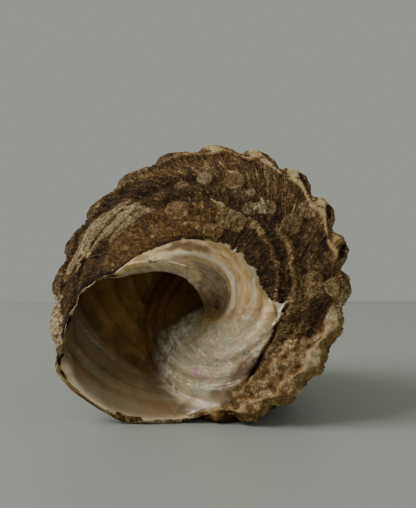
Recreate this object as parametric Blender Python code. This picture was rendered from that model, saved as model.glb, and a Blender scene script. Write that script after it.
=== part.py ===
"""Turban shell: one grown solid, a conical coiled shell lying on its side with its mouth to the front."""

import math

import bmesh
import bpy
from mathutils import Euler, Matrix, Vector

# Driving dimensions, in metres and degrees. The shell is drawn in its own frame first: the apex at the
# origin, the coiling axis along +Z towards the base, and sizes as they are at the lip.
APEX_TO_KEEL = 94.0
RADIUS_GROWTH_PER_WHORL = 1.44
HEIGHT_GROWTH_PER_WHORL = 1.62
MM = 0.001

# The coil is swept in equal turns. Every angle at which two sheets share an edge is a multiple of STEP.
STEP = 4.5
STEPS_PER_WHORL = int(360 / STEP)
WHORLS = 6
FINE_WHORLS = 2.25
STRIDE = 2
CAVITY_STEPS = 100
SUTURE_LEAD = 58.5
SEAM_ANGLE = -4.5

# The growth line, outside: radius and height above the keel in mm, and its lead on the keel in degrees.
KEEL_AND_BASE = [
    ("keel", 59.5, 0.0, 1.0),
    ("keel_groove", 57.9, 2.4, 0.0),
    ("second_keel", 57.2, 4.6, -1.5),
    ("seam", 54.8, 5.4, SEAM_ANGLE),
    ("seam_foot", 51.5, 4.7, -6.5),
    ("cord_1", 45.2, 7.4, -13.5),
    ("furrow_1", 41.4, 6.4, -18.0),
    ("cord_2", 37.6, 9.0, -22.2),
    ("furrow_2", 33.8, 7.8, -25.5),
    ("cord_3", 30.2, 9.9, -27.2),
    ("callus_edge", 25.6, 9.2, -28.6),
    ("callus_band", 19.8, 10.4, -33.0),
    ("callus_groove", 14.4, 9.0, -38.0),
    ("columella_ridge", 10.2, 9.3, -41.0),
    ("trough_wall", 7.6, 5.6, -42.5),
    ("trough_floor", 4.8, 2.2, -44.0),
    ("trough_heel", 2.1, 1.0, -45.0),
    ("axis", 0.0, 0.6, -46.0),
]
SPIRE_CELLS = 4
SPIRE_BULGE = 1.2
LEAD_FADE = 1.3

# A row pushed outwards also sinks towards the spire, by this share of the push.
PUSH_SLOPE = 0.35

# Towards the lip the flank below the mouth flares out, in mm, and most of all in its lower part.
LIP_FLARE = 5.2
FLARE_BIAS = 1.25
LIP_REACH = 45.0

# The coil is not quite round: it runs off centre and is a little oval, in mm at the keel, and each row
# follows by its share.
OFF_CENTRE = 2.8
OFF_CENTRE_TOWARDS = 204.0
OVAL = 2.1
OVAL_PHASE = 122.0
OUT_OF_ROUND_SHARE = {
    "keel": 1.0,
    "keel_groove": 1.0,
    "second_keel": 1.0,
    "seam": 0.9,
    "seam_foot": 0.7,
    "cord_1": 0.4,
    "furrow_1": 0.15,
}

# The trough round the axis starts shallow at the lip: how much higher it is there, in mm.
TROUGH_RAISE = {"trough_wall": 1.4, "trough_floor": 4.2, "trough_heel": 4.6, "axis": 4.2}
TROUGH_REACH = 40.0

# The columella's ridge and the callus round it run off centre the other way.
CENTRE_OFF = 2.9
CENTRE_OFF_TOWARDS = 76.0
CENTRE_OFF_SHARE = {
    "cord_3": 0.15,
    "callus_edge": 0.4,
    "callus_band": 0.8,
    "callus_groove": 1.0,
    "columella_ridge": 1.0,
    "trough_wall": 0.7,
    "trough_floor": 0.3,
}

# The same line on the inside of the wall, from the keel to the foot of the pillar.
INNER_SPIRE_WALL = 2.4
INNER_KEEL_AND_ROOF = [
    (55.4, -1.0, 1.0),
    (55.9, 0.6, 0.0),
    (55.2, 2.0, -1.5),
    (53.2, 2.8, SEAM_ANGLE),
    (50.4, 2.6, -6.5),
    (44.8, 4.4, -13.5),
    (41.2, 4.0, -18.0),
    (37.4, 5.6, -22.2),
    (33.6, 5.1, -25.5),
    (29.8, 6.2, -27.2),
    (25.0, 5.4, -28.3),
    (19.0, 3.6, -33.0),
    (13.6, 1.4, -37.0),
    (9.0, -0.8, -39.0),
    (5.2, -4.6, -34.0),
    (3.6, -9.6, -6.0),
    (4.4, -16.0, 16.0),
    (6.0, -22.5, 17.0),
]
LIP_EDGE_SHARE = 0.4
LIP_TAPER_STEPS = 4

# Folds that cross the whorl and swell into knobs on the keel.
FOLDS_PER_WHORL = 20
FOLD_SKEW = 0.28
SECOND_KEEL_LAG = 55.0
SUTURE_FOLD = 0.35
SPIRE_FOLD = 1.65
FOLD_HEIGHT = {
    "keel": 2.3,
    "keel_groove": 1.5,
    "second_keel": 1.9,
    "seam": 1.0,
    "seam_foot": 0.5,
    "cord_1": 0.3,
}

# How the shell lies: the base looks to the front, a little to the left and up.
ROLL = 223.0
AXIS_RISE = 30.0
AXIS_YAW = -22.0
WORN_DEPTH = 2.2

# The blunt tip, as a share of the height of the ring it closes, and the angle that shades as an edge.
TIP_HEIGHT_SHARE = 0.35
SHARP_ANGLE = 50.0


def place(radius_mm, height_mm, angle, lead):
    """A point of the coil: the growth line's point when the keel is at that angle, at its size there."""
    radius = radius_mm * MM * RADIUS_GROWTH_PER_WHORL ** (angle / 360)
    height = (APEX_TO_KEEL + height_mm) * MM * HEIGHT_GROWTH_PER_WHORL ** (angle / 360)
    turn = math.radians(angle + lead)
    return Vector((radius * math.cos(turn), radius * math.sin(turn), height))


def whorl_before(row):
    """Where this row lies one whorl earlier, in the sizes of the present whorl."""
    height = (APEX_TO_KEEL + row[2]) / HEIGHT_GROWTH_PER_WHORL - APEX_TO_KEEL
    return row[1] / RADIUS_GROWTH_PER_WHORL, height


def outer_rows():
    """The outside growth line from the suture to the axis, as (name, radius, height, lead)."""
    seam = next(row for row in KEEL_AND_BASE if row[0] == "seam")
    keel = KEEL_AND_BASE[0]
    top = whorl_before(seam)
    along = Vector((keel[1] - top[0], keel[2] - top[1]))
    outward = Vector((along.y, -along.x)).normalized()
    rows = [("suture", *top, SUTURE_LEAD)]
    for i in range(1, SPIRE_CELLS):
        share = i / SPIRE_CELLS
        point = Vector(top) + along * share + outward * SPIRE_BULGE * math.sin(math.pi * share)
        rows.append((f"spire_{i}", point.x, point.y, SUTURE_LEAD * (1 - share) ** LEAD_FADE))
    return rows + KEEL_AND_BASE


def inner_rows(outer):
    """The inside growth line, from the wall of the whorl before, round the mouth, to the pillar's foot."""
    names = [row[0] for row in outer]
    foot = outer[names.index("seam_foot")]
    ridge = outer[names.index("columella_ridge")]
    rows = [(*whorl_before(foot), SUTURE_LEAD)]
    along = Vector((KEEL_AND_BASE[0][1] - outer[0][1], KEEL_AND_BASE[0][2] - outer[0][2]))
    inward = Vector((-along.y, along.x)).normalized()
    for i in range(1, SPIRE_CELLS):
        point = Vector((outer[i][1], outer[i][2])) + inward * INNER_SPIRE_WALL
        rows.append((point.x, point.y, outer[i][3]))
    rows += INNER_KEEL_AND_ROOF
    rows.append((*whorl_before(ridge), ridge[3] + SUTURE_LEAD - SEAM_ANGLE))
    return rows


def fold_wave(angle, lag=0.0):
    """The folds round the coil, from -1 to 1, steeper on the side away from the mouth."""
    phase = math.radians(angle * FOLDS_PER_WHORL - lag)
    return math.cos(phase) + FOLD_SKEW * math.sin(2 * phase)


def push(row, angle):
    """How far the folds and the lip move a point of the outer line outwards, in mm at the lip's size."""
    if row[0].startswith("spire"):
        share = int(row[0][-1]) / SPIRE_CELLS
        flare = LIP_FLARE * math.sin(math.pi * share ** FLARE_BIAS) * max(0.0, 1 + angle / LIP_REACH) ** 2
        return (SUTURE_FOLD + (SPIRE_FOLD - SUTURE_FOLD) * share) * fold_wave(angle) + flare
    lag = SECOND_KEEL_LAG if row[0] == "second_keel" else 0.0
    return FOLD_HEIGHT.get(row[0], 0.0) * fold_wave(angle, lag)


def out_of_round(row, angle):
    """How far a point of the outer line lies off the true coil, in mm at the lip's size."""
    at_suture = OUT_OF_ROUND_SHARE["seam"] / RADIUS_GROWTH_PER_WHORL
    if row[0] == "suture":
        share = at_suture
    elif row[0].startswith("spire"):
        share = at_suture + (1 - at_suture) * int(row[0][-1]) / SPIRE_CELLS
    else:
        share = OUT_OF_ROUND_SHARE.get(row[0], 0.0)
    turn = angle + row[3]
    aside = OFF_CENTRE * math.cos(math.radians(turn - OFF_CENTRE_TOWARDS))
    return share * (aside + OVAL * math.cos(math.radians(2 * turn - OVAL_PHASE)))


def outer_point(row, angle):
    out = push(row, angle)
    lift = TROUGH_RAISE.get(row[0], 0.0) * max(0.0, 1 + angle / TROUGH_REACH) - PUSH_SLOPE * out
    aside = CENTRE_OFF_SHARE.get(row[0], 0.0) * CENTRE_OFF
    aside *= math.cos(math.radians(angle + row[3] - CENTRE_OFF_TOWARDS))
    return place(row[1] + out + out_of_round(row, angle) + aside, row[2] + lift, angle, row[3])


def zip_edges(mesh, one, other):
    """Closes the gap between two rows of vertices with triangles, always across the shorter diagonal."""
    i, j = 0, 0
    while i < len(one) - 1 or j < len(other) - 1:
        on_one = math.inf if i == len(one) - 1 else (one[i + 1].co - other[j].co).length
        on_other = math.inf if j == len(other) - 1 else (other[j + 1].co - one[i].co).length
        if on_one <= on_other:
            mesh.faces.new((one[i], other[j], one[i + 1]))
            i += 1
        else:
            mesh.faces.new((one[i], other[j], other[j + 1]))
            j += 1


def make_shell():
    outer = outer_rows()
    names = [row[0] for row in outer]
    inner = inner_rows(outer)
    seam, foot, ridge = (names.index(n) for n in ("seam", "seam_foot", "columella_ridge"))
    lead_steps = round((SUTURE_LEAD - SEAM_ANGLE - 360) / STEP)
    first = -WHORLS * STEPS_PER_WHORL
    fine = -int(FINE_WHORLS * STEPS_PER_WHORL)
    mesh = bmesh.new()
    skin = {}

    def outside(step, j):
        """The shared vertex of the outer sheet. A suture point is the seam point of the whorl before."""
        if j == 0 and step + lead_steps >= first:
            return outside(step + lead_steps, seam)
        if step < fine:
            step -= step % STRIDE
        if (step, j) not in skin:
            skin[step, j] = mesh.verts.new(outer_point(outer[j], step * STEP))
        return skin[step, j]

    lining = {}

    def inside(step, j):
        """The shared vertex of the lining. Its two edges lie on the outer sheet of the whorl before."""
        if j == 0:
            return outside(step + lead_steps, foot)
        if j == len(inner) - 1:
            return outside(step + lead_steps, ridge)
        if (step, j) not in lining:
            radius, height, lead = inner[j]
            out = push(outer[j], step * STEP) if j <= foot else 0.0
            radius += out + (out_of_round(outer[j], step * STEP) if j < ridge else 0.0)
            point = place(radius, height - PUSH_SLOPE * out, step * STEP, lead)
            taper = min(1.0, LIP_EDGE_SHARE + (1 - LIP_EDGE_SHARE) * -step / LIP_TAPER_STEPS)
            if 1 < j < names.index("callus_edge") and taper < 1:
                point = outer_point(outer[j], step * STEP).lerp(point, taper)
            lining[step, j] = mesh.verts.new(point)
        return lining[step, j]

    def sheet(point_of, steps, rows, flip=False):
        for low, high in zip(steps, steps[1:]):
            for j in rows:
                ring = [point_of(low, j), point_of(high, j), point_of(high, j + 1), point_of(low, j + 1)]
                ring = list(dict.fromkeys(ring))
                mesh.faces.new(ring[::-1] if flip else ring)

    last_row = len(outer) - 1
    sheet(outside, [*range(first, fine, STRIDE), *range(fine, 1)], range(seam))
    sheet(outside, range(lead_steps, 1), range(seam, last_row))
    depths = range(-CAVITY_STEPS, 1, STRIDE)
    sheet(inside, depths, range(len(inner) - 1), flip=True)
    sheet(outside, [step + lead_steps for step in depths], range(foot, ridge))

    for j in range(ridge):
        ring = [outside(0, j), inside(0, j), inside(0, j + 1), outside(0, j + 1)]
        mesh.faces.new(list(dict.fromkeys(ring)))
    crest = [outside(0, j) for j in range(ridge, last_row)]
    crest += [outside(step, last_row) for step in range(0, lead_steps - 1, -1)]
    crest += [outside(lead_steps, j) for j in range(last_row - 1, ridge, -1)]
    zip_edges(mesh, crest, [inside(0, j) for j in range(ridge, len(inner))])

    end = -CAVITY_STEPS
    cap = [inside(end, j) for j in range(len(inner))]
    cap += [outside(end + lead_steps, j) for j in range(ridge - 1, foot, -1)]
    mesh.faces.new(cap)

    rim = [outside(first, j) for j in range(seam + 1)]
    rim += [outside(step, 0) for step in range(first - lead_steps - STRIDE, first, -STRIDE)]
    tip = mesh.faces.new(rim)
    poked = bmesh.ops.poke(mesh, faces=[tip])
    poked["verts"][0].co = Vector((0, 0, TIP_HEIGHT_SHARE * place(0, outer[0][2], first * STEP, 0).z))
    bmesh.ops.triangulate(mesh, faces=[f for f in mesh.faces if len(f.verts) > 4])
    bmesh.ops.recalc_face_normals(mesh, faces=mesh.faces)
    return mesh


def lying_pose():
    """Turns the shell on its axis, then tips the base up and round to the front."""
    roll = Matrix.Rotation(math.radians(ROLL), 4, "Z")
    tip = Euler((math.radians(90 - AXIS_RISE), 0, math.radians(AXIS_YAW))).to_matrix().to_4x4()
    return tip @ roll


def lay_down(mesh):
    """Lays the shell on its side, wears flat the knobs that carry it and centres it over the origin."""
    mesh.transform(lying_pose())
    floor = min(v.co.z for v in mesh.verts) + WORN_DEPTH * MM
    everything = [*mesh.verts, *mesh.edges, *mesh.faces]
    cut = bmesh.ops.bisect_plane(
        mesh, geom=everything, plane_co=(0, 0, floor), plane_no=(0, 0, -1), clear_outer=True, dist=1e-7)
    rims = [e for e in cut["geom_cut"] if isinstance(e, bmesh.types.BMEdge)]
    bmesh.ops.holes_fill(mesh, edges=rims)
    bmesh.ops.triangulate(mesh, faces=[f for f in mesh.faces if len(f.verts) > 4])
    low = Vector([min(v.co[i] for v in mesh.verts) for i in range(3)])
    high = Vector([max(v.co[i] for v in mesh.verts) for i in range(3)])
    mesh.transform(Matrix.Translation((-(low.x + high.x) / 2, -(low.y + high.y) / 2, -low.z)))


def shell_material():
    material = bpy.data.materials.new("shell")
    material.use_nodes = True
    principled = material.node_tree.nodes["Principled BSDF"]
    principled.inputs["Base Color"].default_value = (0.18, 0.12, 0.07, 1)
    principled.inputs["Roughness"].default_value = 0.75
    principled.inputs["Metallic"].default_value = 0.0
    return material


def main():
    for old in list(bpy.data.objects):
        bpy.data.objects.remove(old)
    collection = bpy.data.collections.new("turban_shell")
    bpy.context.scene.collection.children.link(collection)
    mesh = make_shell()
    lay_down(mesh)
    data = bpy.data.meshes.new("shell")
    mesh.to_mesh(data)
    mesh.free()
    shell = bpy.data.objects.new("shell", data)
    collection.objects.link(shell)
    shell.data.materials.append(shell_material())
    data.shade_smooth()
    data.set_sharp_from_angle(angle=math.radians(SHARP_ANGLE))


main()
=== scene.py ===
"""A large turban shell on a pale table: fibrous brown skin, a worn cream keel and a mother-of-pearl mouth."""

import math
from functools import partial

import bpy
import numpy as np
from mathutils import Matrix, Vector, kdtree

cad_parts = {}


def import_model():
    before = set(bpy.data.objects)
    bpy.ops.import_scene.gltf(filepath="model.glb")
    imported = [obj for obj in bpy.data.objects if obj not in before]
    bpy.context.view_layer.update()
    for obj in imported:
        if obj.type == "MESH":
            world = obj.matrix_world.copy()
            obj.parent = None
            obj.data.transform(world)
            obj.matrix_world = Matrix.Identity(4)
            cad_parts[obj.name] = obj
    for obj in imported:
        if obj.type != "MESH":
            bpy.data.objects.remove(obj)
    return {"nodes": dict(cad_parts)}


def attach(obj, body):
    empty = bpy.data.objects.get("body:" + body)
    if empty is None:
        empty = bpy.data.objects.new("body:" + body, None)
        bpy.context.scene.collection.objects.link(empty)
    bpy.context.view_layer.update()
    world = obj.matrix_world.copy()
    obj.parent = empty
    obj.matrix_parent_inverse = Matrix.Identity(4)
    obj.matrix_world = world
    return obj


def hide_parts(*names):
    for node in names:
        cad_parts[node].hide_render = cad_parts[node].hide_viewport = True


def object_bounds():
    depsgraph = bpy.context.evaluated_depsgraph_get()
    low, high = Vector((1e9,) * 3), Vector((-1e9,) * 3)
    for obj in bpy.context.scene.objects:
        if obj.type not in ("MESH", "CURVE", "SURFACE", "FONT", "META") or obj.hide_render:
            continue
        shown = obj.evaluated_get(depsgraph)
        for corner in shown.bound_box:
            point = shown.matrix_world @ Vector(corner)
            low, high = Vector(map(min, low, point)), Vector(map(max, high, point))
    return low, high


MM = 0.001

# How the shell grew: one turn makes it this much wider and higher. Lengths are in mm as they are at the lip,
# and angles in degrees. The lead is how far a row runs ahead of the keel.
APEX_TO_KEEL = 94.0
RADIUS_GROWTH = 1.44
HEIGHT_GROWTH = 1.62
WHORLS = 6
SUTURE_LEAD = 58.5
SEAM_LEAD = -4.5
LEAD_FADE = 1.3
SPIRE_CELLS = 4
SPIRE_BULGE = 1.2

# The folds of the flank, which end as knobs on the keel. A row pushed outwards also sinks by PUSH_SLOPE.
FOLDS = 20
FOLD_SKEW = 0.28
SUTURE_FOLD = 0.35
SPIRE_FOLD = 1.65
PUSH_SLOPE = 0.35

# Towards the lip the flank flares out, and the trough round the axis gets shallower.
LIP_FLARE = 5.2
FLARE_BIAS = 1.25
LIP_REACH = 45.0
TROUGH_REACH = 40.0

# The coil runs off centre and is a little oval, and the columella runs off the other way.
OFF_CENTRE = 2.8
OFF_CENTRE_TOWARDS = 204.0
OVAL = 2.1
OVAL_PHASE = 122.0
CENTRE_OFF = 2.9
CENTRE_OFF_TOWARDS = 76.0

# Rows of the growth line outside: radius, rise above the keel, lead, height of the folds, how far they lag,
# share of the oval, how much higher the row is at the lip, and share of the columella's shift.
KEEL_TO_AXIS = [
    (59.5, 0, 1, 2.3, 0, 1, 0, 0),
    (57.9, 2.4, 0, 1.5, 0, 1, 0, 0),
    (57.2, 4.6, -1.5, 1.9, 55, 1, 0, 0),
    (54.8, 5.4, SEAM_LEAD, 1, 0, 0.9, 0, 0),
    (51.5, 4.7, -6.5, 0.5, 0, 0.7, 0, 0),
    (45.2, 7.4, -13.5, 0.3, 0, 0.4, 0, 0),
    (41.4, 6.4, -18, 0, 0, 0.15, 0, 0),
    (37.6, 9, -22.2, 0, 0, 0, 0, 0),
    (33.8, 7.8, -25.5, 0, 0, 0, 0, 0),
    (30.2, 9.9, -27.2, 0, 0, 0, 0, 0.15),
    (25.6, 9.2, -28.6, 0, 0, 0, 0, 0.4),
    (19.8, 10.4, -33, 0, 0, 0, 0, 0.8),
    (14.4, 9, -38, 0, 0, 0, 0, 1),
    (10.2, 9.3, -41, 0, 0, 0, 0, 1),
    (7.6, 5.6, -42.5, 0, 0, 0, 1.4, 0.7),
    (4.8, 2.2, -44, 0, 0, 0, 4.2, 0.3),
    (2.1, 1, -45, 0, 0, 0, 4.6, 0),
    (0, 0.6, -46, 0, 0, 0, 4.2, 0),
]
# Rows of the inside of the wall: radius, rise above the keel, lead.
INNER_KEEL_TO_PILLAR = [
    (55.4, -1, 1),
    (55.9, 0.6, 0),
    (55.2, 2, -1.5),
    (53.2, 2.8, SEAM_LEAD),
    (50.4, 2.6, -6.5),
    (44.8, 4.4, -13.5),
    (41.2, 4, -18),
    (37.4, 5.6, -22.2),
    (33.6, 5.1, -25.5),
    (29.8, 6.2, -27.2),
    (25, 5.4, -28.3),
    (19, 3.6, -33),
    (13.6, 1.4, -37),
    (9, -0.8, -39),
    (5.2, -4.6, -34),
    (3.6, -9.6, -6),
    (4.4, -16, 16),
    (6, -22.5, 17),
]
INNER_SPIRE_WALL = 2.4
CAVITY_TURN = 450.0

# The row of the seam with the whorl before, and the row of the columella's ridge.
SEAM_ROW = SPIRE_CELLS + 3
RIDGE_ROW = SPIRE_CELLS + 13

# How far apart the samples of the growth curves are, and how far a point may lie off them to be drawn on.
SAMPLE_TURN = 1.5
SAMPLE_ROW = 0.25
BURIED_ROW = SEAM_ROW + 0.6
DRAWN_FULLY = 0.5 * MM
NOT_DRAWN = 1.2 * MM
NEVER_ZERO = 1e-18

# How the shell lies.
ROLL = 223.0
AXIS_RISE = 30.0
AXIS_YAW = -22.0
APEX_PLACE = Vector((29.052, 40.991, 5.557)) * MM

# From here on a place is a turn in degrees, 0 at the lip, and a row of the growth line from the suture.
# Where the glaze of the mouth ends on the outside.
GLAZE_EDGE = [
    (0, 13.6), (-3, 14.45), (-14, 15.04), (-25, 15.37), (-41, 15.57), (-61, 15.48),
    (-80, 15.51), (-101, 15.45), (-127, 15.28), (-142, 15.12), (-154, 14.99), (-175, 14.77),
    (-191, 14.44), (-198, 13.9), (-203.5, 13.2), (-210.6, 12.55), (-220, 11.93), (-230.6, 11.61),
    (-241, 11.31), (-251, 10.73), (-260, 10.19), (-274, 9.13), (-288, 8.38), (-299, 7.4),
    (-303, 7.2),
]
TORN_EDGE = (-200, -126)
# A flake of the glaze lies beyond its edge, out to this row.
FLAKE = (-221, -203.5)
FLAKE_ROW = 11.6
# Before this turn the outside is the wall of the whorl before, which shows in the mouth from these rows on.
MOUTH_START = -303.0
MOUTH_EDGE_TURNS = (-322, -305)
MOUTH_EDGE_ROWS = (6.7, 7.2)
# The first beaded thread in the mouth.
BEADED_THREAD = [
    (-325, 14.6), (-308, 14.2), (-292, 13.8), (-275, 13.45), (-261, 13), (-245, 12.8),
    (-227, 12.5), (-210, 13),
]

# Growth lamellae are this far apart, in degrees.
LAMELLA_TURN = 2.3

# Dark parts of the skin: from and to turn, from and to row, shade. They share the softness of their borders.
DARK_PARTS = [
    (-91, -66, 7.6, 10.6, 0.22),
    (-112, -84, 10.3, 12.6, 0.31),
    (-31, -1.5, 8.1, 13.4, 0.3),
    (-40, -22, 11.6, 13, 0.24),
    (-113, -93, 11, 14.9, 0.29),
    (-216, -112, 13.6, 15.6, 0.26),
    (-150, -112, 11.9, 12.6, 0.24),
    (-216, -150, 11.5, 12.7, 0.19),
    (-222, -180, 12.9, 15, 0.26),
    (-200, -172, 9.6, 10.7, 0.35),
    (-196, -174, 8.2, 9.6, 0.42),
    (-236, -222, 8.6, 10.2, 0.41),
    (-164, -112, 7.4, 9, 0.45),
    (-112, -90, 7.2, 9, 0.42),
    (-220, -196, 9.9, 11.6, 0.51),
]
DARK_SOFTNESS = (2.5, 0.25)

# Other parts: from and to turn, from and to row, and how soft their borders are in turn and in rows.
INNER_CORD = (-152, -104, 12.65, 13.35, 2, 0.12)
INNER_CORD_END = (-205, -152, 12.75, 13.2, 3, 0.12)
OUTER_CORD = (-206, -158, 10.75, 11.4, 3, 0.15)
RIBBED = (-66, -31, 7.9, 12.3, 2.5, 0.3)
GRANULAR = (-106, -11, 12.7, 15.8, 3, 0.25)
ERODED = (-306, -228, 3.6, 12.5, 4, 0.4)
RUBBED_RIDGE = (-256, -222, 5.8, 7.2, 3, 0.25)
OLIVE_BAND = (-110, -28, 15.85, 16.65, 12, 0.2)
OLIVE_END = (-16, -4, 15.2, 15.9, 2, 0.15)
OCHRE_BAND = (-235, -108, 14.2, 16.5, 8, 0.25)
WHITE_BAND = (-226, -100, 14.9, 15.2, 6, 0.1)
SPECKLED = (-200, -120, 18.4, 20.2, 8, 0.2)

# From turn to turn: where the rim has dark pockets between its teeth, and where it is worn smooth.
TOOTHED_RIM = (-210, -118)
SMOOTH_RIM = (-290, -216)

# Lime crusts that sea life left on the skin: turn, row, radius and height in mm, paleness, greyness.
CRUSTS = [
    (-107, 9.6, 2.6, 0.4, 0.7, 1),
    (-123, 9.5, 3.7, 0.35, 0.58, 0.45),
    (-131.5, 10.1, 2, 0.3, 0.62, 0.8),
    (-131, 11.8, 2.3, 0.3, 0.58, 0.9),
    (-118, 13.8, 3.6, 0.3, 0.6, 0.5),
    (-127, 13.7, 3.4, 0.3, 0.55, 0.5),
    (-79, 13.3, 3.8, 0.3, 0.62, 0.2),
    (-108, 14.9, 3.4, 0.3, 0.56, 0.2),
    (-171, 7.9, 4, 0.35, 0.6, 0.5),
    (-163, 9.6, 3.6, 0.3, 0.56, 0.5),
    (-144, 10.4, 3, 0.3, 0.58, 0.9),
    (-140, 10.9, 2.2, 0.3, 0.62, 0.9),
    (-202, 9.1, 4.6, 0.35, 0.58, 0.4),
    (-211, 7.6, 3, 0.3, 0.62, 0.6),
    (-92, 10.2, 2.6, 0.25, 0.5, 0.6),
]
# Crooked chalky tubes that worms left on the skin, as places along each. Points within this reach of a tube's
# middle, in mm, are measured against it.
WORM_TUBES = [
    [
        (-23.2, 9.2), (-26.5, 9.35), (-28.6, 9), (-31, 9.45), (-33.5, 9.2), (-35.5, 8.8), (-39, 8.9),
        (-42, 8.6),
    ],
    [(-40.5, 9.2), (-37, 9.5), (-34.5, 9.4), (-32.5, 9.8), (-29.5, 9.7), (-28, 10.1), (-30.5, 10.4)],
    [(-56, 8.3), (-52.5, 8.5), (-50, 8.9), (-52, 9.3), (-56, 9.2)],
    [(-62, 9.6), (-65, 10), (-63, 10.4), (-59, 10.2), (-57, 9.8)],
    [(-45, 10.6), (-42, 11.2), (-38.5, 11.4), (-40, 10.9)],
    [(-104, 12.2), (-107, 12.6), (-111, 12.5), (-114, 12.8)],
    [(-136, 11.4), (-138.5, 11), (-141, 11.3), (-144, 11.1)],
    [(-139, 10), (-140.5, 10.6), (-142, 10.4)],
]
TUBE_REACH = 15.0

# On the glaze: small spots, clouds of green and the two ends of a pink streak, with radii in mm.
SMALL_SPOTS = [(-2.5, 16.1), (-5, 16.35), (-3.6, 15.95), (-7.5, 16.3), (-6, 15.3)]
GREEN_CLOUDS = [(-301, 9.1, 4.2), (-294, 8.9, 2.6), (-330, 7.6, 3)]
PINK_STREAK = [(-297, 11.1, 1.7), (-287, 10.2, 0.7)]

# The camera: the photograph's size and focal length in pixels, and where the middle of the base sits in it.
PHOTO = (416, 508)
FOCAL_PIXELS = 900.0
BASE_PIXEL = (194.5, 272)
CAMERA_PITCH = 6.5
CAMERA_DISTANCE = 0.30
SENSOR_WIDTH = 36.0
NEAREST_SEEN = 0.01

# The studio, in metres and watts: the table's size and middle, and each lamp's place, power and size.
TABLE_SIZE = 6
TABLE_MIDDLE = (0, -2.78, 0)
LAMPS = [
    ("window", (-0.75, -0.25, 0.85), 11, 0.6),
    ("fill", (0.8, -0.7, 0.5), 0.8, 0.8),
]
LIT_PLACE = Vector((0, 0, 0.04))
DAYLIGHT = 0.62


def colour(hex_code):
    """An sRGB hex colour as linear RGBA."""
    parts = [int(hex_code[i:i + 2], 16) / 255 for i in (1, 3, 5)]
    linear = [c / 12.92 if c <= 0.04045 else ((c + 0.055) / 1.055) ** 2.4 for c in parts]
    return (*linear, 1.0)


def whorl_before(radius, rise):
    return radius / RADIUS_GROWTH, (APEX_TO_KEEL + rise) / HEIGHT_GROWTH - APEX_TO_KEEL


def outside_rows():
    """Rows of the outside, as in KEEL_TO_AXIS, with the flare at the lip after the lag of the folds."""
    seam, keel = KEEL_TO_AXIS[3], KEEL_TO_AXIS[0]
    top = np.array(whorl_before(seam[0], seam[1]))
    along = np.array(keel[:2]) - top
    outward = np.array((along[1], -along[0])) / np.hypot(*along)
    at_suture = seam[5] / RADIUS_GROWTH
    rows = [(*top, SUTURE_LEAD, SUTURE_FOLD, 0.0, 0.0, at_suture, 0.0, 0.0)]
    for i in range(1, SPIRE_CELLS):
        share = i / SPIRE_CELLS
        point = top + along * share + outward * SPIRE_BULGE * math.sin(math.pi * share)
        lead = SUTURE_LEAD * (1 - share) ** LEAD_FADE
        fold = SUTURE_FOLD + (SPIRE_FOLD - SUTURE_FOLD) * share
        flare = LIP_FLARE * math.sin(math.pi * share ** FLARE_BIAS)
        oval = at_suture + (1 - at_suture) * share
        rows.append((*point, lead, fold, 0.0, flare, oval, 0.0, 0.0))
    rows += [(*row[:5], 0.0, *row[5:]) for row in KEEL_TO_AXIS]
    return np.array(rows)


def lining_rows(outside):
    """Rows of the cavity wall, from the whorl before, round the mouth, to the foot of the pillar."""
    seam_foot, ridge = outside[SEAM_ROW + 1], outside[RIDGE_ROW]
    rows = np.zeros((len(INNER_KEEL_TO_PILLAR) + SPIRE_CELLS + 1, 9))
    rows[0, :3] = (*whorl_before(seam_foot[0], seam_foot[1]), SUTURE_LEAD)
    along = outside[SPIRE_CELLS, :2] - outside[0, :2]
    inward = np.array((-along[1], along[0])) / np.hypot(*along)
    for i in range(1, SPIRE_CELLS):
        rows[i] = outside[i]
        rows[i, :2] += inward * INNER_SPIRE_WALL
    rows[0, 6] = seam_foot[6] / RADIUS_GROWTH
    for i, (radius, rise, lead) in enumerate(INNER_KEEL_TO_PILLAR, SPIRE_CELLS):
        rows[i, :3] = (radius, rise, lead)
        rows[i, 6] = outside[i, 6] if i < RIDGE_ROW else 0.0
        if i <= SEAM_ROW + 1:
            rows[i, 3:6] = outside[i, 3:6]
    rows[-1, :3] = (*whorl_before(ridge[0], ridge[1]), ridge[2] + SUTURE_LEAD - SEAM_LEAD)
    rows[-1, 8] = ridge[8] / RADIUS_GROWTH
    return rows


def read_rows(rows, across):
    """The rows read at a fractional place across the growth line, on a smooth curve through them."""
    last = len(rows) - 1
    low = np.clip(np.floor(across).astype(int), 0, last - 1)
    f = (across - low)[..., None]
    before, after = rows[np.clip(low - 1, 0, last)], rows[np.clip(low + 2, 0, last)]
    a, b = rows[low], rows[low + 1]
    bend = (b - before) * 0.5 * (f - 2 * f ** 2 + f ** 3) + (after - a) * 0.5 * (f ** 3 - f ** 2)
    return a * (1 - 3 * f ** 2 + 2 * f ** 3) + b * (3 * f ** 2 - 2 * f ** 3) + bend


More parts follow.
